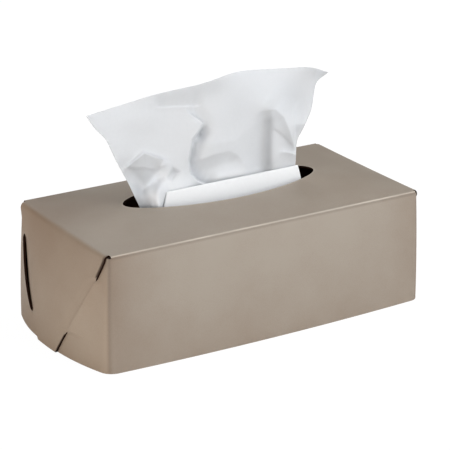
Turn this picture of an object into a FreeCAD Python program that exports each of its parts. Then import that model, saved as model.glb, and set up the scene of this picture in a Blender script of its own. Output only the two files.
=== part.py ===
"""Tissue box holder: a cover die-cut and folded from one leather-like sheet, standing over a pack of tissues.

Frame: millimetres, +X along the length, front at -Y, +Z up, origin at the middle of the footprint.

The sheet has a top panel with an oval mouth, a front and a back panel, and three flaps at each end.
The corner flaps turn in from the front and back panels, and the end flap hangs over them from the top
panel. Each side of the end flap has an ear that goes in through a slit in the corner flap below, so
no glue or thread holds the cover. The walls are not flat: they swell out towards the open bottom, and
the top is crowned.
"""
import FreeCAD, Part

import math
import os

from FreeCAD import Vector

# The cover's panels, measured over the outer faces at the top creases.
panel_length = 255.0
panel_width = 131.0
panel_height = 85.3
sheet = 1.6  # thickness of the sheet
lap_gap = 0.2  # air between two layers that lap
crease_radius = 2.0  # reach of a vertical crease at the top, where it is sharpest
crease_softening = 4.0  # how much further that crease reaches at the bottom
fold_radius = 1.2  # outer rounding of the long creases beside the top panel
roll_radius = 4.0  # the end flap turns down over a soft roll

# How far the walls stand out at the bottom, at their middles and at the corners.
end_swell = 14.2
end_corner_swell = 2.4
side_swell = 5.4
side_corner_swell = 1.4
crown = 7.6  # rise of the top panel at its middle
crown_power = 4  # how flat the crown stays along the length

mouth_length = 158.0
mouth_width = 50.0

# The end flap narrows along a seam, from the top corner down to its foot.
seam_foot = 13.5  # half width of the end flap at the bottom
seam_inset = 2.7  # from the front or back face to the seam at the roll
seam_bow = 1.5  # how far the seam bows outwards
flap_gap = 4.0  # between the two corner flaps, under the end flap
edge_gap = 0.3  # between the end flap's cut edge and the slit's outer lip beside it
tip_drop = 4.0  # a corner flap's top edge slopes down this much from its crease, to clear the roll

# The slit in a corner flap: its outer lip lifts over the ear, and its inner lip gives way by one layer.
slit_foot = 17.5
slit_drop = 18.3  # from the top crease down to the slit's head
slit_ramp = 4.5  # height over which the slit opens from either end
slit_kerf = 0.2  # width of the cut itself
slit_slack = 0.8  # how much more than the ear needs the outer lip lifts at the slit's middle
lip_reach = 12.0  # how far from the slit the inner lip and the end flap bend
ear_reach = 9.0  # the ear's length at its middle
ear_shoulder = 3.0  # and at its top and bottom

# The pack of folded tissues under the cover, and the two tissues in the mouth.
stack_play_x = 22.0  # from the stack to the end walls at the top
stack_play_y = 12.0  # from the stack to the front and back walls at the top
stack_height = 60.0
stack_softness = 5.0  # rounding of its upright corners
soft_gap = 0.3  # air between a tissue and its neighbours
tissue_thickness = 5.0  # the loose plies and folds of the pulled tissue
tissue_spread = 198.0  # its width along its top edge
tissue_play = 13.5  # from its sides to the mouth's tips, where it is gathered
tissue_rise = 77.0  # its top corners above the top crease
tissue_arch = 12.0  # and its top edge's middle above them
tissue_lean = -8.0  # its top edge lies this far to the left of its foot
tissue_bow = 2.0  # and bows this far forwards at its middle
band_thickness = 1.2  # the folded edge of the tissue that comes next
band_play = 12.0  # from its ends to the mouth's tips
band_rise = 15.0  # above the top crease
band_forward = 9.0  # in front of the mouth's long axis

section_step = 10.5  # greatest distance between the sections that shape a flap
ramp_rows = 3  # sections over the height in which a slit opens
top_rows = 13  # sections that shape the top panel
roll_rows = 6  # sections that shape the roll
roll_points = 9  # points that shape each of those

half_length = panel_length / 2
half_width = panel_width / 2
wall_top = panel_height - sheet
roll_foot = panel_height - roll_radius
slit_head = panel_height - slit_drop
layer = sheet + lap_gap


def fullness(z):
    """Share of the bottom's swell at height z: a parabola, upright at the bottom and nought at the top."""
    return 1 - (min(z, wall_top) / wall_top) ** 2


def crease_reach(z):
    return crease_radius + crease_softening * fullness(z)


def end_bulge(y, z):
    """How far the end wall stands out beyond the top crease: a parabola across the wall."""
    return (end_swell + (end_corner_swell - end_swell) * (y / half_width) ** 2) * fullness(z)


def end_slope(y, z):
    return 2 * (end_corner_swell - end_swell) * y / half_width**2 * fullness(z)


def side_bulge(x, z):
    """The same for the front wall, along x."""
    return (side_swell + (side_corner_swell - side_swell) * (x / half_length) ** 2) * fullness(z)


def side_slope(x, z):
    return 2 * (side_corner_swell - side_swell) * x / half_length**2 * fullness(z)


def on_end(y, z, off):
    """A point at the left end, off outwards along x from a corner flap's outer face."""
    return Vector(-half_length - end_bulge(y, z) - off, y, z)


def on_front(x, z, off):
    """A point on the front panel, off outwards along y from its outer face."""
    return Vector(x, -half_width - side_bulge(x, z) - off, z)


def seam(z):
    """Half width of the end flap at height z."""
    q = min(z / roll_foot, 1)
    head = half_width - seam_inset
    return seam_foot + (head - seam_foot) * q + seam_bow * 4 * q * (1 - q)


def gape(z):
    """How far the slit is open at height z, from 0 at its ends to 1."""
    q = min(z - slit_foot, slit_head - z) / slit_ramp
    q = max(0, min(q, 1))
    return q * q * (3 - 2 * q)


def lip(beyond, z):
    """Lift of the slit's outer lip: most at the slit, nought at the crease."""
    room = half_width - crease_reach(z) - seam(z)
    along = (2 * z - slit_foot - slit_head) / (slit_head - slit_foot)
    lift = layer * gape(z) + slit_slack * max(0, 1 - along * along)
    return lift * (1 - beyond / room) ** 2


def give(beyond, z):
    """Depth by which the sheet inside the slit, and the end flap on it, are pushed in."""
    return layer * gape(z) * max(0, 1 + beyond / lip_reach) ** 2


def meet(p, along_p, q, along_q):
    """Where the line through p meets the line through q, in the plane that holds both."""
    n = along_p.cross(along_q)
    return p + along_p * ((q - p).cross(along_q).dot(n) / n.dot(n))


def spread(a, b, count):
    return [a + (b - a) * i / (count - 1) for i in range(count)]


def curve(points):
    """A smooth edge through the points, with evenly spaced knots so that a loft's sections agree."""
    line = Part.BSplineCurve()
    line.interpolate(Points=points, Parameters=[float(i) for i in range(len(points))])
    return line.toShape()


def bend(p, corner, q):
    """The rounded edge of a crease: a parabola from p to q that leaves both towards the corner."""
    arc = Part.BezierCurve()
    arc.setPoles([p, corner, q])
    return arc.toShape()


def parabola(at, a, b):
    """The edge at(t) from t = a to t = b. As at is of the second degree, three poles hold it exactly."""
    p, q = at(a), at(b)
    return bend(p, at((a + b) / 2) * 2 - (p + q) * 0.5, q)


def end_edges(z, stops, off_at):
    """The chain of edges along the left end at height z, one between each two stops."""
    return [parabola(lambda y: on_end(y, z, off_at(y)), a, b) for a, b in zip(stops, stops[1:])]


def band(outer, inner):
    """The closed section of a sheet between two chains of edges that start at the same side."""
    first, first_in = outer[0].firstVertex(True).Point, inner[0].firstVertex(True).Point
    last, last_in = outer[-1].lastVertex(True).Point, inner[-1].lastVertex(True).Point
    back = [edge.reversed() for edge in reversed(inner)]
    return Part.Wire(outer + [Part.makeLine(last, last_in)] + back + [Part.makeLine(first_in, first)])


def loft(wires):
    """A solid through the sections, straight between one and the next."""
    return Part.makeLoft(wires, True, True)


# ---------------------------------------------------------------- front and back panels, corner flaps


def outer_lip_edge(z, depth):
    """From the vertical crease to the slit."""
    start, end = -half_width + crease_reach(z), -seam(z) - slit_kerf / 2
    return parabola(lambda y: on_end(y, z, lip(-y - seam(z), z) - depth), start, end)


def inner_lip_edges(z, depth):
    """From the slit to the flap's free edge: the stretch that gives way, then the rest."""
    stops = (-seam(z) + slit_kerf / 2, -seam(z) + lip_reach, -flap_gap / 2)
    return end_edges(z, stops, lambda y: -give(-y - seam(z), z) - depth)


def flap_edge(z, depth):
    """Above and below the slit: from the crease to the free edge."""
    return parabola(lambda y: on_end(y, z, -depth), -half_width + crease_reach(z), -flap_gap / 2)


def crease_edges(z, depth):
    """The vertical crease between the front panel and the left corner flap: a parabola in two halves."""
    x, y = -half_length + crease_reach(z), -half_width + crease_reach(z)
    p, q = on_front(x, z, -depth), on_end(y, z, -depth)
    corner = meet(p, Vector(1, -side_slope(x, z), 0), q, Vector(-end_slope(y, z), 1, 0))
    middle = (p + corner * 2 + q) * 0.25
    return [bend(p, (p + corner) * 0.5, middle), bend(middle, (corner + q) * 0.5, q)]


def front_edge(z, depth):
    reach = half_length - crease_reach(z)
    return parabola(lambda x: on_front(x, z, -depth), reach, -reach)


def mirrored(edges):
    """The chain of edges reflected to the other end, in reverse order, so that it still runs on."""
    out = []
    for edge in reversed(edges):
        out.append(edge.mirror(Vector(0, 0, 0), Vector(1, 0, 0)).reversed())
    return out


def front_row(z, flap):
    """Section at height z through the front panel and the flap edge that runs on from it at both ends."""
    chains = []
    for depth in (0, sheet):
        left = crease_edges(z, depth) + [flap(z, depth)]
        chains.append(mirrored(left) + [front_edge(z, depth)] + left)
    return band(*chains)


def heights_through(*stops):
    """Heights of a loft's sections, with one at each of the stops."""
    heights = [stops[0]]
    for low, high in zip(stops, stops[1:]):
        heights += spread(low, high, 1 + math.ceil((high - low) / section_step))[1:]
    return heights


def ear_heights():
    """The ear's root, bottom to top: where the slit is fully open."""
    return slit_foot + slit_ramp, slit_head - slit_ramp


def slit_heights():
    low, high = ear_heights()
    opening, closing = spread(slit_foot, low, ramp_rows), spread(high, slit_head, ramp_rows)
    return opening + heights_through(low, high)[1:-1] + closing


def front_wall():
    """The front panel with its two corner flaps, in one piece but for the slits."""
    below = loft([front_row(z, flap_edge) for z in heights_through(0, slit_foot)])
    above = loft([front_row(z, flap_edge) for z in heights_through(slit_head, wall_top)])
    beside = loft([front_row(z, outer_lip_edge) for z in slit_heights()])
    tongue = loft([band(inner_lip_edges(z, 0), inner_lip_edges(z, sheet)) for z in slit_heights()])
    wall = below.fuse([beside, above, tongue, mirror_x(tongue)])
    return wall.cut(flap_top_cutter()).cut(mirror_x(flap_top_cutter()))


def flap_top_cutter():
    """Trims a corner flap's top edge to lie under the end flap's roll."""
    low = wall_top - tip_drop
    outline = [(0, low), (-half_width + tip_drop, low), (-half_width, wall_top), (0, wall_top), (0, low)]
    points = [Vector(-half_length - roll_radius, y, z) for y, z in outline]
    return Part.Face(Part.makePolygon(points)).extrude(Vector(roll_radius + crease_radius, 0, 0))


def mirror_x(shape):
    return shape.mirror(Vector(0, 0, 0), Vector(1, 0, 0))


def mirror_y(shape):
    return shape.mirror(Vector(0, 0, 0), Vector(0, 1, 0))


# ---------------------------------------------------------------- top panel


def top_row(x, depth):
    """Across the top panel: straight along its four edges, crowned between them."""
    reach = half_width - sheet
    rise = crown * (1 - (x / (half_length - crease_radius)) ** crown_power)
    level = panel_height - depth
    return parabola(lambda y: Vector(x, y, level + rise * (1 - (y / reach) ** 2)), -reach, reach)


def top_panel():
    """The crowned panel between the creases, with its oval mouth."""
    reach = half_length - crease_radius
    panel = loft([band([top_row(x, 0)], [top_row(x, sheet)]) for x in spread(-reach, reach, top_rows)])
    ellipse = Part.Ellipse(Vector(0, 0, 0), mouth_length / 2, mouth_width / 2)
    mouth = Part.Face(Part.Wire(ellipse.toShape())).extrude(Vector(0, 0, 2 * panel_height))
    return panel.cut(mouth)


def long_crease():
    """The fold between the top and the front panel, rounded on its outer side."""
    reach = half_length - crease_radius
    y, z = -half_width, panel_height
    r = fold_radius
    slant = r * (1 - math.sqrt(0.5))
    p = [(y, wall_top), (y, z - r), (y + slant, z - slant), (y + r, z), (y + sheet, z), (y + sheet, wall_top)]
    v = [Vector(-reach, a, b) for a, b in p]
    edges = [Part.makeLine(v[0], v[1]), Part.Arc(v[1], v[2], v[3]).toShape()]
    edges += [Part.makeLine(a, b) for a, b in zip(v[3:], v[4:] + v[:1])]
    return Part.Face(Part.Wire(edges)).extrude(Vector(2 * reach, 0, 0))


# ---------------------------------------------------------------- end flap with its ears


def ear_length(z):
    low, high = ear_heights()
    v = (2 * z - low - high) / (high - low)
    return ear_shoulder + (ear_reach - ear_shoulder) * (1 - v * v)


def plain_edges(z, depth):
    """The end flap's section above and below the slits: one layer outside the corner flaps."""
    edge = seam(z) - edge_gap
    return end_edges(z, (-edge, edge), lambda y: layer - depth)


def bent_edges(z, depth):
    """Between the two slits: pushed in beside them."""
    edge, rest = seam(z) - edge_gap, seam(z) - lip_reach
    return end_edges(z, (-edge, -rest, rest, edge), lambda y: layer - give(abs(y) - seam(z), z) - depth)


def eared_edges(z, depth):
    """Where the slits are fully open: with an ear at each side, which lies under the slit's outer lip."""
    edge = seam(z) - edge_gap
    tip = edge + ear_length(z)
    root = layer - give(-edge_gap, z) - lip(-edge_gap, z)

    def tucked(y):
        return root + lip(abs(y) - seam(z), z) - depth

    left, right = (end_edges(z, stops, tucked) for stops in ((-tip, -edge), (edge, tip)))
    return left + bent_edges(z, depth) + right


def roll_edges(u, depth):
    """Across the soft roll, from the end flap's head (u = 1) to the top panel's edge (u = 0)."""
    head = seam(roll_foot) - edge_gap
    row = []
    for y in spread(-head, head, roll_points):
        p = Vector(-half_length + crease_radius, y, panel_height - depth)
        q = on_end(y, roll_foot, layer - depth)
        rise = crown * (1 - (y / (half_width - sheet)) ** 2)
        slope = rise * crown_power / (half_length - crease_radius)
        drop = end_bulge(y, 0) * 2 * roll_foot / wall_top**2
        corner = meet(p, Vector(-1, 0, -slope), q, Vector(drop, 0, 1))
        row.append(p * (1 - u) ** 2 + corner * (2 * u * (1 - u)) + q * u**2)
    return [curve(row)]


def end_flap():
    """The left end flap: hung from the top panel, narrowing downwards, with an ear at each side."""
    low, high = ear_heights()

    def layers(edges, places):
        return [band(edges(place, 0), edges(place, sheet)) for place in places]

    foot = layers(plain_edges, heights_through(0, slit_foot))
    opening = layers(bent_edges, spread(slit_foot, low, ramp_rows))
    eared = layers(eared_edges, heights_through(low, high))
    closing = layers(bent_edges, spread(high, slit_head, ramp_rows))
    head = layers(plain_edges, heights_through(slit_head, roll_foot))
    head += layers(roll_edges, spread(1, 0, roll_rows)[1:])
    return [loft(sections) for sections in (foot, opening, eared, closing, head)]


def cover():
    """The whole folded sheet as one solid."""
    flaps = end_flap()
    front = front_wall()
    crease = long_crease()
    pieces = [top_panel(), crease, mirror_y(crease), front, mirror_y(front)]
    pieces += flaps + [mirror_x(piece) for piece in flaps]
    return pieces[0].fuse(pieces[1:])


# ---------------------------------------------------------------- tissues


def tissue_stack():
    """The pack of interfolded tissues, standing under the cover."""
    length, width = panel_length - 2 * stack_play_x, panel_width - 2 * stack_play_y
    block = Part.makeBox(length, width, stack_height, Vector(-length / 2, -width / 2, 0))
    upright = [e for e in block.Edges if abs(e.Vertexes[0].Z - e.Vertexes[-1].Z) > stack_height / 2]
    return block.makeFillet(stack_softness, upright)


def tissue_section(z):
    """Section across the pulled tissue at height z: gathered up to the mouth, and fanned out above it."""
    neck = panel_height + crown
    opened = max(0, (z - neck) / (panel_height + tissue_rise - neck))
    gathered = mouth_length / 2 - tissue_play
    half = gathered + (tissue_spread / 2 - gathered) * opened

    def face(side):
        def at(u):
            y = tissue_bow * opened * (u * u - 1) + side * tissue_thickness / 2
            return Vector(half * u + tissue_lean * opened, y, z)

        return [parabola(at, -1, 1)]

    return band(face(-1), face(1))


def pulled_tissue():
    """The tissue that stands in the mouth, with its top edge cut to an arch."""
    corner = panel_height + tissue_rise
    top = corner + tissue_arch
    neck = panel_height + crown
    heights = (stack_height + soft_gap, neck, top)
    left, right = tissue_lean - tissue_spread / 2, tissue_lean + tissue_spread / 2
    arch = Part.Arc(Vector(left, 0, corner), Vector(tissue_lean, 0, top), Vector(right, 0, corner)).toShape()
    far = tissue_spread
    roof = [(right, corner), (far, corner), (far, top + far), (-far, top + far), (-far, corner)]
    roof.append((left, corner))
    sides = [Part.makeLine(Vector(a, 0, b), Vector(c, 0, d)) for (a, b), (c, d) in zip(roof, roof[1:])]
    above = Part.Face(Part.Wire([arch] + sides)).extrude(Vector(0, 2 * far, 0))
    above.translate(Vector(0, -far, 0))
    return loft([tissue_section(z) for z in heights]).cut(above)


def next_tissue():
    """The folded edge of the tissue that comes next, upright in front of the pulled one."""
    half = mouth_length / 2 - band_play
    foot = stack_height + soft_gap
    height = panel_height + band_rise - foot
    place = Vector(-half, -band_forward - band_thickness / 2, foot)
    return Part.makeBox(2 * half, band_thickness, height, place)


def main():
    os.makedirs("parts", exist_ok=True)
    parts = {
        "cover": cover(),
        "tissue_stack": tissue_stack(),
        "pulled_tissue": pulled_tissue(),
        "next_tissue": next_tissue(),
    }
    for name, shape in parts.items():
        print(name, shape.ShapeType, len(shape.Solids), shape.isValid(), round(shape.Volume), shape.BoundBox)
        shape.exportStep(f"parts/{name}.step")


main()
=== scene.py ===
"""Looks of a tissue box holder: a cover folded from one sheet of grey-brown leather, over a pack of tissues.

Metres, +X along the length, front at -Y, +Z up, origin at the middle of the footprint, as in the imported
frame.
"""

import math

import bpy
import numpy as np
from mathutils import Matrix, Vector


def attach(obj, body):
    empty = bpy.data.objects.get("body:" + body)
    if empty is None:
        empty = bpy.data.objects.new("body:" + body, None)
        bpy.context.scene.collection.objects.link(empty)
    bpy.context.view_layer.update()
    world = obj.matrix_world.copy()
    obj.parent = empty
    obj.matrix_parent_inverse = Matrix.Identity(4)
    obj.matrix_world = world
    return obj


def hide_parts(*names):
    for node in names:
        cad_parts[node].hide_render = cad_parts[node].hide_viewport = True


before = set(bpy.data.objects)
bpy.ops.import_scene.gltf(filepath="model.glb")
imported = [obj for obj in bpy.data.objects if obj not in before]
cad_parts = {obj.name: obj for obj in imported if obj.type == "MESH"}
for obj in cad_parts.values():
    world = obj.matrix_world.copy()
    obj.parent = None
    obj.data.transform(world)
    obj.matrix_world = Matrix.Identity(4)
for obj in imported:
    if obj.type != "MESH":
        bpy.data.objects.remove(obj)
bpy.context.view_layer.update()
scene = bpy.context.scene
scene.view_settings.view_transform = "Standard"

# ---------------------------------------------------------------- the folded cover
# One sheet of smooth leather, 1.6 mm thick, die-cut flat, creased and folded: a crowned top panel with an
# oval mouth, front and back panels, and three flaps at each end, where the ears of the end flap lock in slits
# of the two corner flaps. The walls swell out towards the open bottom, which shows the sheet's bare edge.

panel_length = 0.255
panel_width = 0.131
panel_height = 0.0853
sheet = 0.0016
layer = sheet + 0.0002  # an end flap lies one sheet and a little air outside the corner flaps
crease_radius = 0.002
crease_softening = {-1: 0.004, 1: 0.0014}  # at the foot, of the left and the right creases
groove_depth, groove_width = 0.0002, 0.0015  # the scored line down a vertical crease
fold_radius = 0.0012
roll_radius = 0.004
end_swell, end_corner_swell = 0.0142, 0.0024
side_swell, side_corner_swell = 0.0054, 0.0014
crown, crown_power = 0.0076, 4
mouth_half_length, mouth_half_width = 0.079, 0.025
mouth_bend, mouth_aside = 0.002, 0.0008  # its ends are bent back, and it sits to the right
seam_foot, seam_inset, seam_bow = 0.0135, 0.0027, 0.0015
flap_gap, edge_gap, tip_drop = 0.004, 0.0003, 0.004
slit_head, slit_ramp = 0.067, 0.0045
slit_foot = {-1: 0.0175, 1: 0.0150}  # of the front and the back slits
lip_give, lip_reach = layer, 0.012  # inside a slit the sheet gives way by one layer
slack = {-1: 0.0009, 1: 0.0011}  # how far a slit stands open beyond the ear in it, at most
ear_reach, ear_shoulder = 0.009, 0.001
back_fullness, back_rise = 0.0016, 0.045  # how much the back of an end stands out more, and over what way
# marks: pale along the mouth's edge, from rubbing and a painted highlight, and painted shade in the grooves,
# under the long folds and beside the front seams
mouth_pale, mouth_pale_reach = 0.3, 0.0012
groove_dark = 0.27
fold_dark, fold_dark_drop, fold_dark_width = 0.38, 0.0019, 0.0005
seam_shade_at_foot, seam_shade_more_at_top = 0.0010, 0.0011

half_length, half_width = panel_length / 2, panel_width / 2
wall_top = panel_height - sheet
roll_foot = panel_height - roll_radius


def smooth(q):
    """0 below 0, 1 above 1, and between them q squared times (3 - 2q)."""
    q = np.clip(q, 0, 1)
    return q * q * (3 - 2 * q)


def fullness(z):
    """One minus the square of the height's share of the wall: the swell's profile."""
    return 1 - (np.clip(z, 0, wall_top) / wall_top) ** 2


def crease_reach(z, end):
    """How far a vertical crease's rounding reaches from the corner: it softens towards the bottom."""
    return crease_radius + crease_softening[end] * fullness(z)


def swell(t, z, middle, corner, half):
    """Bulge of a wall and its slope: a parabola across, from middle to corner value, times the fullness."""
    fall = (middle - corner) / half**2
    return (middle - fall * t * t) * fullness(z), -2 * fall * t * fullness(z)


def end_bulge(y, z):
    """The end wall's swell, and at the back (y above 0) a little more, coming in smoothly."""
    out, slope = swell(y, z, end_swell, end_corner_swell, half_width)
    q = np.clip(y / back_rise, 0, 1)
    more = back_fullness * fullness(z)
    return out + more * smooth(q), slope + more / back_rise * 6 * q * (1 - q)


def on_end(y, z, off):
    """Points of the left end: the bulged wall, moved off along its outward normal."""
    out, slope = end_bulge(y, z)
    n = np.hypot(1, slope)
    return np.stack([-half_length - out - off / n, y - off * slope / n, z + 0 * y], axis=-1)


def on_front(x, z, off):
    """Points of the front panel, moved off along its outward normal."""
    out, slope = swell(x, z, side_swell, side_corner_swell, half_length)
    n = np.hypot(1, slope)
    return np.stack([x - off * slope / n, -half_width - out - off / n, z + 0 * x], axis=-1)


def crown_height(x, y):
    """Panel height plus the crown times (1 - the fourth power of x's share) times (1 - the square of y's)."""
    u = x / (half_length - crease_radius)
    v = y / (half_width - sheet)
    return panel_height + crown * (1 - np.abs(u) ** crown_power) * (1 - v * v)


def seam(z):
    """Half width of an end flap: nearly a straight line from its foot to the top corner, bowed a little."""
    q = np.clip(z / roll_foot, 0, 1)
    return seam_foot + (half_width - seam_inset - seam_foot) * q + seam_bow * 4 * q * (1 - q)


def by_side(values, y):
    """The front's or the back's value, at each y."""
    return np.where(y > 0, values[1], values[-1])


def gape(y, z):
    """How far a slit is open: 0 at its two ends, rising smoothly to 1."""
    return smooth(np.minimum(z - by_side(slit_foot, y), slit_head - z) / slit_ramp)


def lip(beyond, y, z, end):
    """Lift of a slit's outer lip: a layer and a parabola of slack, falling as a square towards the crease."""
    room = half_width - crease_reach(z, end) - seam(z)
    foot = by_side(slit_foot, y)
    q = np.clip((2 * z - foot - slit_head) / (slit_head - foot), -1, 1)
    return (layer * gape(y, z) + by_side(slack, y) * (1 - q**2)) * (1 - beyond / room) ** 2


def give(beyond, y, z):
    """Dent of the sheet inside the slit: falls as a square over the lip's reach."""
    return lip_give * gape(y, z) * np.maximum(0, 1 + beyond / lip_reach) ** 2


def looks(shape, painted_light_and_mottle, wear_and_painted_light=0.0):
    """Painted light on the leather at each point, 0 shaded brown to 1 grey sheen, and its marks, 1 pale from
    rubbing and highlights to -1 dark where shade is painted.
    """
    return np.dstack([np.broadcast_to(painted_light_and_mottle, shape), np.broadcast_to(wear_and_painted_light, shape)])


def thick(at, painted_light_and_mottle, wear_and_painted_light=0.0):
    """A patch: its outer and inner points, at(depth) with the depth 0 and one sheet, and its looks."""
    outer = at(0.0)
    return outer, at(sheet), looks(outer.shape[:2], painted_light_and_mottle, wear_and_painted_light)


def grid(first, second):
    """Two arrays of a grid's values, the first running down its rows and the second along its columns."""
    return np.meshgrid(first, second, indexing="ij")


def top_patch():
    """Rays from the mouth's bent ellipse to the panel's outline: a point is the mix of their ends, raised."""
    reach_x, reach_y = half_length - crease_radius, half_width - sheet
    side = np.linspace(-reach_x, reach_x, long_count)
    end = np.concatenate([[-reach_y], flap_head * end_shares, [reach_y]])
    outline = np.concatenate([
        np.stack([side, np.full_like(side, -reach_y)], 1)[:-1],
        np.stack([np.full_like(end, reach_x), end], 1)[:-1],
        np.stack([side[::-1], np.full_like(side, reach_y)], 1)[:-1],
        np.stack([np.full_like(end, -reach_x), end[::-1]], 1),
    ])
    angle = np.arctan2(outline[:, 1] / reach_y, outline[:, 0] / reach_x)
    across = mouth_half_width * np.sin(angle) + mouth_bend * np.cos(angle) ** 2
    mouth = np.stack([mouth_half_length * np.cos(angle) + mouth_aside, across], 1)
    share = (np.linspace(0, 1, 28) ** 1.5)[:, None, None]  # rings closer together by the mouth
    flat = mouth * (1 - share) + outline * share
    x, y = flat[..., 0], flat[..., 1]
    from_mouth = np.hypot(*np.moveaxis(flat - mouth, -1, 0))
    # paler along the mouth's edge: rubbing, and a painted highlight
    rubbed_and_highlit = mouth_pale * np.exp(-((from_mouth / mouth_pale_reach) ** 2))
    return thick(lambda depth: np.dstack([flat, crown_height(x, y) - depth]), top_tone(x, y), rubbed_and_highlit)


def top_tone(x, y):
    """Painted light of the top panel, as grey sheen: even, but painted shade at the left end and a little
    towards the back.
    """
    u, v = x / half_length, y / half_width
    return 0.86 - 0.40 * smooth((-u - 0.5) / 0.5) * smooth(0.6 + v) - 0.06 * smooth(0.5 + v)


def tone(x, z):
    """Painted light of a long side, as grey sheen: most high in the middle, and painted shade by the left
    crease.
    """
    up = np.clip(z / panel_height, 0, 1)
    by_crease = np.exp(-(((half_length - np.abs(x)) / 0.022) ** 2)) * np.where(x < 0, 1, 0.3)
    return 0.63 + 0.42 * up**0.7 * (1 - (x / half_length) ** 4) - (0.05 + 0.35 * up) * by_crease


def end_tone(y, z):
    """Painted light of an end, as grey sheen: most in the front half, and painted shade at its top, its foot
    and towards the back.
    """
    up = np.clip(z / panel_height, 0, 1)
    return 0.99 - 0.50 * up**1.5 - 0.25 * smooth((y + 0.045) / 0.09) - 0.30 * (1 - up) ** 3


def by_fold(below):
    """Painted shade in a dark line just under a long crease: a bell curve of the way below the top."""
    return -fold_dark * np.exp(-(((below - fold_dark_drop) / fold_dark_width) ** 2))


def long_crease_patch():
    """Across the fold: a short flat, a quarter circle, a short drop. Along its inside it is a corner."""
    turn = np.linspace(0, math.pi / 2, 9)
    y = np.concatenate([[-half_width + sheet], -half_width + fold_radius * (1 - np.sin(turn)), [-half_width]])
    z = np.concatenate([[panel_height], panel_height - fold_radius * (1 - np.cos(turn)), [wall_top]])
    x, row = grid(np.linspace(-1, 1, long_count) * (half_length - crease_radius), np.arange(len(y)))
    outer = np.stack([x, y[row], z[row]], axis=-1)
    inner = np.stack([x, np.full_like(x, -half_width + sheet), np.full_like(x, wall_top)], axis=-1)
    # the ridge is pale from rubbing and a painted highlight, in some stretches more than in others
    rubbed_and_highlit = np.array([0, 0, 0, 0.1, 0.4, 0.7, 0.7, 0.4, 0.1, 0, 0])
    wear_and_painted_light = rubbed_and_highlit[row] * (0.75 + 0.25 * np.cos(x * 90 + 2 * np.cos(x * 37))) + by_fold(panel_height - z[row])
    q = np.clip(row / 8, 0, 1)
    painted_light_and_mottle = (1 - q) * top_tone(x, y[row]) + q * tone(x, z[row])
    return outer, inner, looks(x.shape, painted_light_and_mottle, wear_and_painted_light)


def front_patch():
    """The front panel between its two creases."""
    s, z = grid(np.linspace(-1, 1, long_count), heights)
    x = s * (half_length - np.where(s < 0, crease_reach(z, -1), crease_reach(z, 1)))
    return thick(lambda depth: on_front(x, z, -depth), tone(x, z), by_fold(panel_height - z))


def crease_patch(side, end):
    """A vertical crease: a parabola that meets both walls along their tangents, with a groove down it."""
    t, z = grid(np.linspace(0, 1, 19), heights)
    reach = crease_reach(z, end)
    x, y = -half_length + reach, side * (half_width - reach)
    groove = np.exp(-(((t - 0.5) * 2 * reach / groove_width) ** 2))

    def at(depth):
        p, q = on_front(x, z, -depth) * [1, -side, 1], on_end(y, z, -depth)
        front_slope = swell(x, z, side_swell, side_corner_swell, half_length)[1]
        along_p = np.stack([np.ones_like(x), side * front_slope], -1)
        along_q = np.stack([-end_bulge(y, z)[1], np.ones_like(x)], -1)
        gap = (q - p)[..., :2]
        cross = gap[..., 0] * along_q[..., 1] - gap[..., 1] * along_q[..., 0]
        spread = along_p[..., 0] * along_q[..., 1] - along_p[..., 1] * along_q[..., 0]
        corner = p.copy()
        corner[..., :2] += along_p * (cross / spread)[..., None]  # where the two tangents meet
        w = t[..., None]
        inward = np.array([1, -side, 0]) * math.sqrt(0.5) * groove_depth * groove[..., None]
        return p * (1 - w) ** 2 + corner * 2 * w * (1 - w) + q * w * w + inward

    over = smooth((t - 0.3) / 0.4)
    # the groove is darkened with painted shade
    return thick(at, (1 - over) * tone(-end * x, z) + over * end_tone(y, z), -groove_dark * groove)


def outer_lip_patch(side, end):
    """A corner flap from the vertical crease to the seam, lifted along the slit. Its top edge slopes down."""
    p, q = grid(np.linspace(0, 1, 18), heights / wall_top)
    room = half_width - seam(wall_top) - crease_radius
    z = q * (wall_top - np.clip(p * room, 0, tip_drop))
    y = (1 - p) * (half_width - crease_reach(z, end)) + p * seam(z)
    lift = lip(y - seam(z), side * y, z, end)
    return thick(lambda depth: on_end(side * y, z, lift - depth), end_tone(side * y, z))


def inner_lip_patch(side):
    """The same flap from the seam to its free edge, under the end flap, pushed in along the slit."""
    p, q = grid(np.linspace(0, 1, 22), heights / wall_top)
    room = half_width - seam(wall_top) - crease_radius
    z = q * (wall_top - np.clip(room + p * tip_drop * 4, 0, tip_drop))
    y = (1 - p) * seam(z) + p * flap_gap / 2
    dent = give(y - seam(z), side * y, z)
    return thick(lambda depth: on_end(side * y, z, -dent - depth), end_tone(side * y, z))


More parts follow.
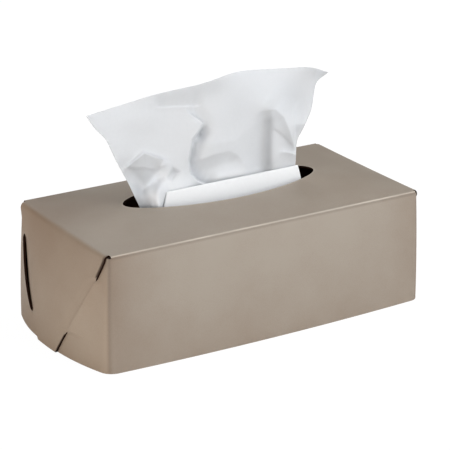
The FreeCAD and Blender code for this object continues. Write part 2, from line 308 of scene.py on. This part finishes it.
def end_flap_patch(end):
    """An end flap, up its height and over the roll: a parabola between the flap and the top panel.

    Its ears reach past the seam, by the twelfth power of the share of the way to the edge. It lies one layer
    out, dips where the slits' inner lips do, and an ear lies one layer inside the outer lip over it.
    """
    reach_x = half_length - crease_radius
    s, u = grid(end_shares, np.concatenate([heights / wall_top * roll_foot, roll_turns]))
    z = np.minimum(u, roll_foot)
    rolled = np.clip(u - roll_foot, 0, 1)[..., None]
    room = np.minimum(z - by_side(slit_foot, s), slit_head - z) - slit_ramp
    ear = (ear_reach + edge_gap) * smooth(room / ear_shoulder)
    y = s * (seam(z) - edge_gap) + np.sign(s) * ear * np.abs(s) ** 12

    def at(depth):
        beyond = np.abs(y) - seam(z)
        inside = layer - give(np.minimum(beyond, 0), y, z)
        in_slit = layer - give(0, y, z) - lip(0, y, z, end) + lip(beyond, y, z, end)
        q = on_end(y, z, np.where(beyond <= 0, inside, in_slit) - depth)
        p = np.stack([np.full_like(y, -reach_x), y, np.full_like(y, panel_height - depth)], -1)
        rise = crown * (1 - (y / (half_width - sheet)) ** 2) * crown_power / reach_x
        drop = end_bulge(y, 0)[0] * 2 * roll_foot / wall_top**2
        # where the panel's slope and the flap's slope meet, in the plane across the roll
        way = (q[..., 0] - p[..., 0] - drop * (q[..., 2] - p[..., 2])) / (-1 + drop * rise)
        corner = p + way[..., None] * np.stack([-np.ones_like(y), 0 * y, -rise], -1)
        roll = p * rolled**2 + corner * 2 * rolled * (1 - rolled) + q * (1 - rolled) ** 2
        return np.where(rolled > 0, roll, q)

    over = rolled[..., 0]
    # outside the slit, painted shade lies beside the front seam's cut edge, wider at the top
    seam_shade = seam_shade_at_foot + seam_shade_more_at_top * smooth(z / 0.04 - 1)
    edge = np.exp(-(((s + 1) * seam(z) / seam_shade) ** 6)) * (room < -slit_ramp) * (1 - over)
    return thick(at, (1 - over) * end_tone(y, z) + over * top_tone(end * reach_x, y), -edge)


def facing_out(outer):
    """Whether a patch's faces, taken in the order of its grid, look away from the middle of the cover."""
    a, b = outer[1:, :-1] - outer[:-1, :-1], outer[:-1, 1:] - outer[:-1, :-1]
    middle = np.array([0, 0, panel_height / 2])
    return (np.cross(a, b) * (outer[:-1, :-1] - middle)).sum() > 0


def cells(rows, columns, turned):
    """Corner numbers of a grid's faces."""
    i, j = grid(np.arange(rows - 1), np.arange(columns - 1))
    k = (i * columns + j).ravel()
    ring = [k, k + columns, k + columns + 1, k + 1]
    return np.stack(ring[::-1] if turned else ring, axis=1)


def folded(patches):
    """Welds the patches' outer points to one skin, their inner ones to another, and closes the cut edges."""
    outer, inner, worn_and_painted_light, faces, start = [], [], [], [], 0
    for out, into, wear_and_painted_light in patches:
        rows, columns = out.shape[:2]
        outer.append(out.reshape(-1, 3))
        inner.append(into.reshape(-1, 3))
        worn_and_painted_light.append(wear_and_painted_light.reshape(-1, 2))
        faces.append(start + cells(rows, columns, not facing_out(out)))
        start += rows * columns
    points, faces = np.concatenate(outer + inner), np.concatenate(faces)
    _, first, number = np.unique(np.round(points * 2e6), axis=0, return_index=True, return_inverse=True)
    number = number.ravel()
    edges = np.stack([faces, np.roll(faces, -1, axis=1)], axis=2).reshape(-1, 2)
    ends = np.sort(number[edges], axis=1)
    _, back, count = np.unique(ends, axis=0, return_inverse=True, return_counts=True)
    cut = edges[(count[back.ravel()] == 1) & (ends[:, 0] != ends[:, 1])]
    rim = np.stack([cut[:, 1], cut[:, 0], cut[:, 0] + start, cut[:, 1] + start], axis=1)
    inside = faces[:, ::-1] + start
    every = number[np.concatenate([faces, inside, rim])]
    slots = np.repeat([0, 1, 2], [len(faces), len(inside), len(rim)])
    # where two corners of a face are welded it becomes a triangle, and where more are it goes
    apart = every != np.roll(every, -1, axis=1)
    corners = apart.sum(axis=1)
    rings = np.split(every[apart], np.cumsum(corners)[:-1])
    kept = [ring.tolist() for ring in rings if len(ring) > 2]
    return points[first], np.concatenate(worn_and_painted_light * 2)[first], kept, slots[corners > 2]


def mirrored(patch, x, y):
    """The patch at the other end where x is -1, and at the other side where y is."""
    outer, inner, wear_and_painted_light = patch
    return outer * [x, y, 1], inner * [x, y, 1], wear_and_painted_light


long_count, end_count = 91, 61
end_shares = np.sin(np.linspace(-math.pi / 2, math.pi / 2, end_count))  # closer together at the flap's edges
flap_head = seam(roll_foot) - edge_gap
stops = (0, slit_foot[1], slit_foot[-1], slit_head, wall_top)
stretches = [np.linspace(a, b, n)[:-1] for a, b, n in zip(stops, stops[1:], (8, 4, 43, 10))]
heights = np.concatenate(stretches + [[wall_top]])
roll_turns = roll_foot + np.linspace(0, 1, 13)[1:]

patches = [top_patch()]
for side in (-1, 1):
    patches += [mirrored(long_crease_patch(), 1, -side), mirrored(front_patch(), 1, -side)]
    for end in (-1, 1):
        for patch in (crease_patch(side, end), outer_lip_patch(side, end), inner_lip_patch(side)):
            patches.append(mirrored(patch, -end, 1))
for end in (-1, 1):
    patches.append(mirrored(end_flap_patch(end), -end, 1))

points, surface, faces, slots = folded(patches)
mesh = bpy.data.meshes.new("cover_skin")
mesh.from_pydata(points.tolist(), [], faces)
cover = bpy.data.objects.new("cover_skin", mesh)
scene.collection.objects.link(cover)


class Wire:
    """A value in a material. Arithmetic on it adds the Math nodes that work it out."""

    def __init__(self, socket):
        self.socket = socket

    def math(self, operation, other=0.0):
        node = self.socket.id_data.nodes.new("ShaderNodeMath")
        node.operation = operation
        feed(node.inputs[0], self)
        feed(node.inputs[1], other)
        return Wire(node.outputs[0])

    def __abs__(self):
        return self.math("ABSOLUTE")

    def __add__(self, other):
        return self.math("ADD", other)

    def __sub__(self, other):
        return self.math("SUBTRACT", other)

    def __mul__(self, other):
        return self.math("MULTIPLY", other)


def feed(place, value):
    """Links a wire to a node's socket, or gives the socket a value of its own."""
    if isinstance(value, Wire):
        place.id_data.links.new(value.socket, place)
    else:
        place.default_value = value


class Finish:
    """A material whose nodes are added one by one, and whose constants sit on the shader's own sockets."""

    def __init__(self, name, colour, **constants):
        self.material = bpy.data.materials.new(name)
        self.material.use_nodes = True
        self.tree = self.material.node_tree
        self.shader = self.tree.nodes["Principled BSDF"]
        self.shader.inputs["Base Color"].default_value = (*colour, 1)
        for socket, value in constants.items():
            self.shader.inputs[socket.replace("_", " ")].default_value = value

    def node(self, kind, settings=None, output=0, **inputs):
        """Adds a node: first its settings, then the values or links of its sockets, by name or as _number."""
        node = self.tree.nodes.new("ShaderNode" + kind)
        for key, value in (settings or {}).items():
            setattr(node, key, value)
        for key, value in inputs.items():
            place = node.inputs[int(key[1:]) if key[1:].isdigit() else key.replace("_", " ")]
            feed(place, value)
        return Wire(node.outputs[output])

    def mix(self, share, first, second, blend="MIX"):
        """The first colour going over to the second by the share."""
        settings = {"data_type": "RGBA", "blend_type": blend}
        return self.node("Mix", settings, output=2, _0=share, _6=first, _7=second)

    def set(self, **sockets):
        for key, value in sockets.items():
            feed(self.shader.inputs[key.replace("_", " ")], value)


def linear(r, g, b):
    """A colour written as it looks on a screen, 0 to 255, in the linear values that a shader takes."""
    c = np.array([r, g, b]) / 255
    return tuple(np.where(c <= 0.04045, c / 12.92, ((c + 0.055) / 1.055) ** 2.4).tolist())


def opaque(r, g, b):
    """The same for a socket that also takes an alpha."""
    return (*linear(r, g, b), 1)


for name, values in zip(("painted_light_and_mottle", "wear_and_painted_light"), surface.T):
    mesh.attributes.new(name, "FLOAT", "POINT").data.foreach_set("value", np.ascontiguousarray(values))

leather = Finish("leather", linear(158, 142, 126), Specular_IOR_Level=0.4)
place = leather.node("TexCoord", output=3)
painted_light_and_mottle = leather.node("Attribute", {"attribute_name": "painted_light_and_mottle"}, output=2)
worn_and_painted_light = leather.node("Attribute", {"attribute_name": "wear_and_painted_light"}, output=2)
clouds = leather.node("TexNoise", Vector=place, Scale=28.0, Detail=3.0, Roughness=0.55)
pores = leather.node("TexVoronoi", {"feature": "DISTANCE_TO_EDGE"}, Vector=place, Scale=1300.0)
fine = leather.node("TexNoise", Vector=place, Scale=2600.0, Detail=2.0, Roughness=0.6)
grain = leather.node("MapRange", Value=pores, From_Max=0.25) * 0.7 + fine * 0.6
# clouds and grain add the leather's own mottle and grain to the painted light
painted_light_and_mottle = painted_light_and_mottle + (clouds - 0.5) * 0.5 + (grain - 0.75) * 0.25
# the painted light runs from a shaded brown to a grey sheen
hide = leather.mix(painted_light_and_mottle, opaque(134, 115, 98), opaque(163, 153, 141))
from_middle = abs(leather.node("SeparateXYZ", Vector=place))
round_end = {"From_Min": half_length - 0.001, "From_Max": half_length + 0.001}
at_end = leather.node("MapRange", Value=from_middle, **round_end)
hide = leather.mix(at_end, hide, (1.08, 1.0, 0.92, 1), blend="MULTIPLY")  # both ends are a warmer brown
# pale from rubbing and painted highlights, then dark where shade is painted
pale = leather.mix(worn_and_painted_light * 0.8, hide, opaque(222, 212, 198))
leather.set(
    Base_Color=leather.mix(worn_and_painted_light * -0.9, pale, opaque(40, 20, 8)),
    Roughness=clouds * 0.16 + (abs(worn_and_painted_light) - worn_and_painted_light) * 0.25 + 0.38,
    Normal=leather.node("Bump", Height=grain, Strength=0.25, Distance=0.0001),
)
inside_leather = Finish("leather_inside", linear(60, 45, 36), Roughness=0.9, Specular_IOR_Level=0.1)
place = inside_leather.node("TexCoord", output=3)
nap = inside_leather.node("TexNoise", Vector=place, Scale=1500.0, Detail=4.0)
inside_leather.set(
    Base_Color=inside_leather.mix(nap, opaque(44, 28, 18), opaque(66, 46, 33)),
    Normal=inside_leather.node("Bump", Height=nap, Strength=0.4, Distance=0.0002),
)
cut_leather = Finish("leather_cut_edge", linear(36, 17, 7), Roughness=0.8, Specular_IOR_Level=0.1)
place = cut_leather.node("TexCoord", output=3)
fibre = cut_leather.node("TexNoise", Vector=place, Scale=3000.0, Detail=3.0)
cut_leather.set(
    Roughness=fibre * 0.3 + 0.65,
    Normal=cut_leather.node("Bump", Height=fibre, Strength=0.3, Distance=0.0001),
)
for finish in (leather, inside_leather, cut_leather):
    mesh.materials.append(finish.material)
mesh.polygons.foreach_set("material_index", slots)
mesh.polygons.foreach_set("use_smooth", np.ones(len(faces), bool))
mesh.set_sharp_from_angle(angle=math.radians(40))
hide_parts("cover")
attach(cover, "root")

# ---------------------------------------------------------------- the pulled tissue
# One thin sheet of tissue paper, pulled up through the mouth by hand. Above the mouth it fans out in soft
# folds, and from the mouth it runs down gathered to the pack and back over it. This section and the next are
# in millimetres, and a place on the sheet is (x, z).

tissue_thickness = 0.0002  # metres, as the modifier that gives it
stack_top = 60
mouth_level = 80
forwards = np.array([-0.489, -0.799, 0.3495])  # the folds stand out this way: to the front left, a little up
left_tip, right_tip = (-107.3, 162.5), (91.4, 163)
left_foot, right_foot = (-64, mouth_level), (63, mouth_level)
top_folds = [(-81, 166.4), (-52, 169.8), (-14, 170.8), (16, 175.9), (43, 173.9), (75, 170.3)]
top_line = [left_tip, *top_folds, right_tip]
left_line = [left_tip, (-100.7, 152), (-92.8, 144), (-84.8, 126), (-76.1, 109), (-66.8, 89), left_foot]
right_line = [right_tip, (81, 158), (79.5, 150), (77.4, 137), (71, 125), (64.7, 116), (64, 99), right_foot]


def along(points, share):
    """Places at each share of the way along a line: means of nine near ones, which rounds its corners."""
    points = np.array(points, float)
    way = np.concatenate([[0], np.cumsum(np.hypot(*np.diff(points, axis=0).T))])
    reach = np.minimum(0.04, np.minimum(share, 1 - share))
    near = [way[-1] * (share + reach * k) for k in np.linspace(-1, 1, 9)]
    return np.mean([np.stack([np.interp(q, way, p) for p in points.T], axis=-1) for q in near], axis=0)


def fold(path, left, right, height, power=2.0):
    """A ridge along a path over the sheet's grid x, z: a bell curve of the distance, wider on one side.

    Left is for a path that runs down; for one that runs to the right, the left side is the lower one. Round
    the path's ends one width goes over to the other by the sine of the angle. A power near 1 is sharper.
    """
    best, side = np.full(x.shape, 1e9), np.zeros(x.shape)
    for (ax, az), (bx, bz) in zip(path, path[1:]):
        dx, dz = bx - ax, bz - az
        t = np.clip(((x - ax) * dx + (z - az) * dz) / (dx * dx + dz * dz), 0, 1)
        away = np.hypot(x - ax - t * dx, z - az - t * dz)
        sine = (dx * (z - az) - dz * (x - ax)) / (math.hypot(dx, dz) * np.maximum(away, 1e-6))
        nearer = (away < best - 1e-9) | ((away < best + 1e-9) & (np.abs(sine) > np.abs(side)))
        best, side = np.where(nearer, away, best), np.where(nearer, np.clip(sine, -1, 1), side)
    width = left + (right - left) * smooth(0.5 + 0.5 * side)
    return height * np.exp(-((best / width) ** power))


def pad(at, reach, lean, height):
    """A rounded swelling at a place: a bell curve with two reaches, its long way turned by lean degrees."""
    c, q = math.cos(math.radians(lean)), math.sin(math.radians(lean))
    a, b = (x - at[0]) * c + (z - at[1]) * q, (z - at[1]) * c - (x - at[0]) * q
    return height * np.exp(-((a / reach[0]) ** 2) - (b / reach[1]) ** 2)


def facet(outline, edge, height):
    """A flat patch in a convex, clockwise outline: a soft step of the least way in from its sides."""
    inside = np.full(x.shape, 1e9)
    for (ax, az), (bx, bz) in zip(outline, outline[1:] + outline[:1]):
        dx, dz = bx - ax, bz - az
        inside = np.minimum(inside, (dz * (x - ax) - dx * (z - az)) / math.hypot(dx, dz))
    return height * smooth(0.5 + inside / edge)


def sheet_object(name, points, finish, node, shade=0.0):
    """A closed thin sheet from a grid of points, with the shade of its first ones: its faces, thickened."""
    mesh = bpy.data.meshes.new(name)
    mesh.from_pydata(points.reshape(-1, 3).tolist(), [], cells(*points.shape[:2], False).tolist())
    mesh.polygons.foreach_set("use_smooth", np.ones(len(mesh.polygons), bool))
    mesh.materials.append(finish.material)
    greyed = np.zeros(len(mesh.vertices))
    greyed[: np.size(shade)] = np.ravel(shade)
    mesh.attributes.new("shade", "FLOAT", "POINT").data.foreach_set("value", greyed)
    made = bpy.data.objects.new(name, mesh)
    scene.collection.objects.link(made)
    shell = made.modifiers.new("thickness", "SOLIDIFY")
    shell.thickness, shell.offset = tissue_thickness, 0
    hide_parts(node)
    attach(made, "root")
    return made


share_down, share_across = grid(np.linspace(0, 1, 151), np.linspace(0, 1, 241))
upper, lower = along(top_line, share_across), along([left_foot, right_foot], share_across)
left, right = along(left_line, share_down), along(right_line, share_down)
s, t = share_across[..., None], share_down[..., None]
tip_mix = (1 - s) * np.array(left_tip) + s * np.array(right_tip)
foot_mix = (1 - s) * np.array(left_foot) + s * np.array(right_foot)
# the patch between its four edges: both pairs' mixes, less the mix of the corners
flat = (1 - t) * upper + t * lower + (1 - s) * left + s * right - ((1 - t) * tip_mix + t * foot_mix)
x, z = flat[..., 0], flat[..., 1]

step = [(-18, 136), (-23, 131), (-24.5, 124), (-26, 116), (-24.5, 107), (-19.5, 101), (-13, 97)]
stand_out = (
    # the step down the middle, and what runs up from it to the top edge
    -fold(step, 0.6, 8, 8)
    - fold([(-24, 151), (-19, 147), (-14, 142.5), (-18, 136)], 0.6, 6, 3)
    - fold([(-22, 160), (-20, 148)], 3, 8, 1.5)
    + fold([(-60, 173), (-30, 173), (4, 176)], 12, 12, 6)
    # the arch to the right of it
    + fold([(-16, 116), (-5.5, 117.5), (8, 117.5), (15, 113), (20, 106)], 5, 9, 3.5, 1.3)
    + fold([(-12, 100), (3, 100), (18, 99)], 5, 7, 4)
    + fold([(-4, 125), (5, 125), (12, 125), (20, 129), (29, 135), (35, 139)], 7, 16, 2, 1.4)
    # the upright fold, and the flap over its right side
    + fold([(44, 134), (44.5, 128), (44.5, 118), (44.5, 104)], 6, 22, 11)
    + fold([(38, 144), (46, 142), (53, 135), (58, 124), (62, 111)], 7, 20, 5, 1.2)
    - fold([(46, 126), (53, 120), (62, 111)], 7, 1.5, 1.6, 1.3)
    + fold([(53, 109), (62, 106)], 4, 1.2, 2.5, 1.2)
    # the right edge
    + fold([(80, 165), (77, 145), (70, 128)], 16, 8, 7)
    + fold([(64, 136), (64, 114)], 1.0, 9, -2.0)
    # the crumple at the left, and the dimple beside it
    + fold([(-76, 121), (-63, 128.5), (-56, 125), (-48, 121)], 8, 1.6, 3.5, 1.3)
    - fold([(-74, 111), (-63, 103), (-54, 108)], 5, 12, 9)
    + fold([(-74, 120), (-62, 118), (-56, 116), (-47, 116.5)], 0.9, 4, 1.6, 1.3)
    + fold([(-49, 114), (-56, 108.7), (-61, 105), (-57.5, 98), (-55, 93), (-50.5, 86)], 7, 6, 5, 1.4)
    + fold([(-51, 98), (-50, 84)], 5, 5, 6)
    - facet([(-39.5, 113.5), (-34, 109.3), (-40, 104.5), (-44, 107)], 4, 2.0)
    # broad swellings, and the creases across them
    + pad((-64, 153), (18, 9), -15, 3)
    + pad((-34, 96), (12, 22), 0, 4)
    + fold([(-58, 88), (-45, 88)], 14, 14, 3)
    + fold([(-46, 95), (28, 95)], 12, 9, 4)
    + fold([(20, 166), (9, 154), (-1, 142), (-8, 130)], 16, 16, 2)
    - fold([(-50, 161), (-36, 159), (-20, 157)], 1.0, 6, 1.2)
    + pad((98, 166), (14, 10), 0, 12)
)
fade = smooth((z - 84 + 12 * smooth((-44 - x) / 6)) / 14)  # folds end above the mouth, lower at the left
stand_out = stand_out * fade + 4 * np.cos(x / 19) * smooth((z - 90) / 60)
# painted shade on the paper: greyer in the hollows and beside the folds, which their form alone
# shades too little, and painted light, whiter, on what stands out
shade = 0.25 + 0.75 * (
    fold([(41, 134), (41, 128), (40.5, 115), (40.5, 102)], 4, 4, 0.45)
    + pad((14, 148), (22, 16), 30, 0.1)
    + fold([(36, 142.5), (46, 141.5), (53, 134.5), (58, 123.5), (62, 111)], 7, 0.7, 0.22)
    + fold([(-13, 142), (-14, 138), (-16, 130), (-17, 120)], 2.5, 3, 0.10)
    + facet([(-75, 120), (-50, 115), (-62.5, 104)], 4, 0.30)
    + facet([(-73, 116), (-57, 110), (-59, 84), (-66, 84)], 6, 0.12)
    + facet([(-77, 120.5), (-61, 128.5), (-50, 124), (-47, 121.5), (-50, 116)], 1.5, 0.2)
    + fold([(-48, 168), (-5, 169)], 9, 5, 0.15)
    + pad((62, 150), (17, 15), 0, 0.25)
    + pad((84, 166), (12, 9), -20, 0.28)
    + fold([(66, 127), (73, 126)], 6, 0.8, 0.2)
    + facet([(-40, 114), (-34, 109.5), (-40, 103.5), (-45, 106.5)], 2.5, 0.22)
    + pad((-39, 110.5), (3, 2.5), 0, 0.2)
    - fold([(-50, 112), (-56, 108), (-61, 104.5)], 3, 3, 0.15)
    - fold([(-58, 99), (-55, 93), (-51.5, 84)], 3, 3, 0.3)
    - fold([(-48, 104), (-30, 99)], 8, 8, 0.22)
    + fold([(46, 126), (54, 119), (62, 110)], 1.0, 5, 0.06)
    - fold([(-10, 99), (20, 98), (36, 97)], 6, 4, 0.28)
    - fold([(46, 98), (62, 97)], 5, 4, 0.15)
    - pad((-53, 88), (3, 6), 0, 0.3)
    + pad((-67, 93), (5, 14), 20, 0.4)
    + fold([(-82, 126), (-72, 125)], 5, 3, 0.12)
)
visible = np.stack([x, 0 * x, z], axis=-1) + stand_out[..., None] * forwards

# below the mouth: straight down in pleats, round on to the pack, and back over it
u, v = grid(np.linspace(0, 1, 48)[1:], np.linspace(-1, 1, share_across.shape[1]))
tail_length, tail_air, bend_radius = 75, 1, 6
pleat_depth, pleat_turns = 1.6, 21
foot_middle, foot_half = (left_foot[0] + right_foot[0]) / 2, (right_foot[0] - left_foot[0]) / 2
down = u * tail_length
bend_at = mouth_level - stack_top - tail_air - bend_radius
turn = np.clip((down - bend_at) / bend_radius, 0, math.pi / 2)
run = np.maximum(down - bend_at - bend_radius * math.pi / 2, 0)
tail_z = mouth_level - np.minimum(down, bend_at) - bend_radius * np.sin(turn)
tail_y = bend_radius * (1 - np.cos(turn)) + run
pleat = pleat_depth * np.sin(v * pleat_turns) * np.sin(np.minimum(down / bend_at, 1) * math.pi)
tail_x = foot_middle + foot_half * v * (1 + 0.25 * smooth(run / 45))
tail = np.stack([tail_x, tail_y + pleat, tail_z], axis=-1)


def tissue_finish(name, colour, depth):
    """Tissue paper: matt, a little see-through by its depth, finely crinkled, greyer by the shade painted on
    the sheet.
    """
    finish = Finish(name, linear(*colour), Roughness=0.95, Specular_IOR_Level=0.2, Subsurface_Weight=depth)
    finish.set(Subsurface_Scale=0.001, Subsurface_Radius=(1, 1, 1))
    place = finish.node("TexCoord", output=3)
    crinkle = finish.node("TexNoise", Vector=place, Scale=420.0, Detail=5.0, Roughness=0.6)
    thin, dense = (opaque(*(c + k for c in colour)) for k in (-3, 3))
    shade = finish.node("Attribute", {"attribute_name": "shade"}, output=2)
    # the paper goes over to this grey by the painted shade
    finish.set(
        Base_Color=finish.mix(shade, finish.mix(crinkle, thin, dense), opaque(148, 151, 155)),
        Normal=finish.node("Bump", Height=crinkle, Strength=0.12, Distance=0.0004),
    )
    return finish


tissue = tissue_finish("tissue", (236, 239, 243), 0.2)
# painted light: the band's paper is a lighter copy of the tissue's colour
brightened_band_tissue = tissue_finish("tissue_folded_edge", (242, 244, 246), 0.0)
whole = np.concatenate([visible, tail]) / 1000
pulled = sheet_object("pulled_sheet", whole, tissue, "pulled_tissue", shade)

# ---------------------------------------------------------------- the next tissue
# The folded edge of the tissue that comes next, which the pulled one draws up as it leaves. It stands in
# front of it as a straight band of two layers, widest at the pack, and ends beside the crumple at the left.

band_middle, band_half = 5.6, 55.0
left_flare, right_flare = 8.2, 2.5
band_top, band_tilt = 100.6, 0.2  # its folded edge, a little higher at the right
band_front, layer_gap = -8.4, 0.7
foot_forward, forward_reach = 8, 18
u, v = grid(np.linspace(0, 1, 60), np.linspace(-1, 1, 121))
rise = np.where(u < 0.5, 2 * u, 2 - 2 * u)  # up the front layer, over the folded edge and down the back one
band_foot, band_edge = stack_top + 1, band_top + band_tilt * v
band_x = band_middle + band_half * v + (1 - rise) * ((1 + v) * right_flare - (1 - v) * left_flare)
below = 40 * (1 - rise)
lean = foot_forward * np.tanh(below / forward_reach) * (1 - 0.35 * v * v)  # most in the middle
band_y = band_front + layer_gap / 2 * (1 + np.tanh((u - 0.5) * 30)) - lean
band = np.stack([band_x, band_y, band_foot + (band_edge - band_foot) * rise], axis=-1)
following = sheet_object("next_sheet", band / 1000, brightened_band_tissue, "next_tissue")

# ---------------------------------------------------------------- the pack of tissues
# A soft block of about a hundred interfolded tissues, cut square, that stands on the table inside the cover.
# Its sides show the fine lines of the layers. Its sizes are in metres again.

pack_length, pack_width, pack_corner = panel_length - 0.044, panel_width - 0.024, 0.005
turn = np.linspace(0, math.pi / 2, 7)
arc = np.stack([np.cos(turn), np.sin(turn)], 1) * pack_corner
quarter = arc + [pack_length / 2 - pack_corner, pack_width / 2 - pack_corner]
ring = np.concatenate([quarter, (quarter * [-1, 1])[::-1], quarter * [-1, -1], (quarter * [1, -1])[::-1]])
layer_lines = 61
line_depth, face_rim = 0.0008, 0.03  # the bottom and the top are a flat middle with a flat rim this wide
levels = np.concatenate([[0], np.linspace(0, 1, layer_lines), [1]]) * stack_top / 1000
inset = np.concatenate([[face_rim], line_depth * (np.arange(layer_lines) % 2), [face_rim]])
shrink = 1 - inset[:, None, None] / (np.array([pack_length, pack_width]) / 2)
rows, columns = len(levels), len(ring)
pack_points = np.dstack([ring[None] * shrink, np.broadcast_to(levels[:, None], (rows, columns))])
row, column = np.divmod(cells(rows, columns + 1, False), columns + 1)
sides = row * columns + column % columns  # the last column is the first one again
caps = [list(range(columns))[::-1], list(range((rows - 1) * columns, rows * columns))]
pack_mesh = bpy.data.meshes.new("pack")
pack_mesh.from_pydata(pack_points.reshape(-1, 3).tolist(), [], sides.tolist() + caps)
pack_mesh.materials.append(tissue.material)
pack = bpy.data.objects.new("tissue_pack", pack_mesh)
scene.collection.objects.link(pack)
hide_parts("tissue_stack")
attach(pack, "root")

# ---------------------------------------------------------------- the view and the light
# A long lens, a little above the object and to its front left, on a plain white floor, with soft lamps.

lens, sensor = 162.7, 36.0
azimuth, elevation = math.radians(-31.49), math.radians(20.46)
distance, target = 1.4774, Vector((0.00372, 0.0002, 0.0618))
camera = bpy.data.objects.new("camera", bpy.data.cameras.new("camera"))
camera.data.lens, camera.data.sensor_width = lens, sensor
level = math.cos(elevation)
back = Vector((math.sin(azimuth) * level, -math.cos(azimuth) * level, math.sin(elevation)))
camera.location = target + back * distance
camera.rotation_mode = "QUATERNION"
camera.rotation_quaternion = (-back).to_track_quat("-Z", "Y")
scene.collection.objects.link(camera)
scene.camera = camera


def softbox(name, place, size, power, colour=(1, 1, 1), shine=True):
    """A square area lamp at place, turned to the object. Without shine it leaves no highlight."""
    lamp = bpy.data.lights.new(name, "AREA")
    lamp.size, lamp.energy, lamp.color = size, power, colour
    box = bpy.data.objects.new(name, lamp)
    box.location = place
    box.rotation_mode = "QUATERNION"
    box.rotation_quaternion = (Vector((0, 0, 0.05)) - Vector(place)).to_track_quat("-Z", "Y")
    box.visible_glossy = shine
    scene.collection.objects.link(box)


softbox("front_light", (0.9, -1.5, 0.9), 1.2, 18.2, (0.99, 1.0, 1.01))
softbox("top_light", (1.2, -0.3, 1.4), 1.2, 14.5)
softbox("left_light", (-1.6, -0.3, 0.6), 1.2, 8.3, (1.03, 0.99, 0.95))
softbox("low_left_light", (-1.2, -1.0, 0.15), 1.2, 11.5, (1.03, 0.99, 0.95))
softbox("back_light", (0.1, 1.2, 1.4), 1.2, 6.5)
softbox("rear_fill", (0.3, 1.8, 0.1), 1.2, 14.0, shine=False)

world = bpy.data.worlds.new("studio")
scene.world = world
world.use_nodes = True
sky = world.node_tree.nodes["Background"]
sky.inputs["Color"].default_value = (1, 1, 1, 1)
seen = world.node_tree.nodes.new("ShaderNodeLightPath").outputs["Is Camera Ray"]
# a dim sky lights the object, and a white one is seen
sky_light, sky_seen = 0.13, 1.0
strength = world.node_tree.nodes.new("ShaderNodeMapRange")
strength.inputs["To Min"].default_value = sky_light
strength.inputs["To Max"].default_value = sky_seen
world.node_tree.links.new(seen, strength.inputs["Value"])
world.node_tree.links.new(strength.outputs["Result"], sky.inputs["Strength"])

floor_mesh = bpy.data.meshes.new("floor")
floor_mesh.from_pydata([(-40, -40, 0), (40, -40, 0), (40, 40, 0), (-40, 40, 0)], [], [(0, 1, 2, 3)])
floor = bpy.data.objects.new("floor", floor_mesh)
scene.collection.objects.link(floor)
white_share, white_strength = 0.92, 1.05
paper = Finish("floor_paper", (0.9, 0.9, 0.9), Roughness=1.0)
white = paper.node("Emission", Color=(1, 1, 1, 1), Strength=white_strength)
# the floor is seen white, except under the cover: between its long sides and the parabolas of its ends
place = paper.node("TexCoord", output=3)
lengthwise, crosswise = (abs(paper.node("SeparateXYZ", output=k, Vector=place)) for k in (0, 1))
end_corner = half_length + 0.0006
end_room = end_swell - 1.5 * sheet
end_line = crosswise * crosswise * (-end_room / half_width**2) + (end_corner + end_room)
past_end = lengthwise.math("GREATER_THAN", end_line)
past_side = crosswise.math("GREATER_THAN", half_width)
glow = paper.node("LightPath") * white_share * past_end.math("MAXIMUM", past_side)
lit = paper.node("MixShader", _1=Wire(paper.shader.outputs[0]), _2=white, Fac=glow)
# from below it is clear, so that the underside of the object can be seen
from_below = paper.node("NewGeometry", output=6)
either = paper.node("MixShader", _1=lit, _2=paper.node("BsdfTransparent"), Fac=from_below)
paper.tree.links.new(either.socket, paper.tree.nodes["Material Output"].inputs["Surface"])
floor_mesh.materials.append(paper.material)
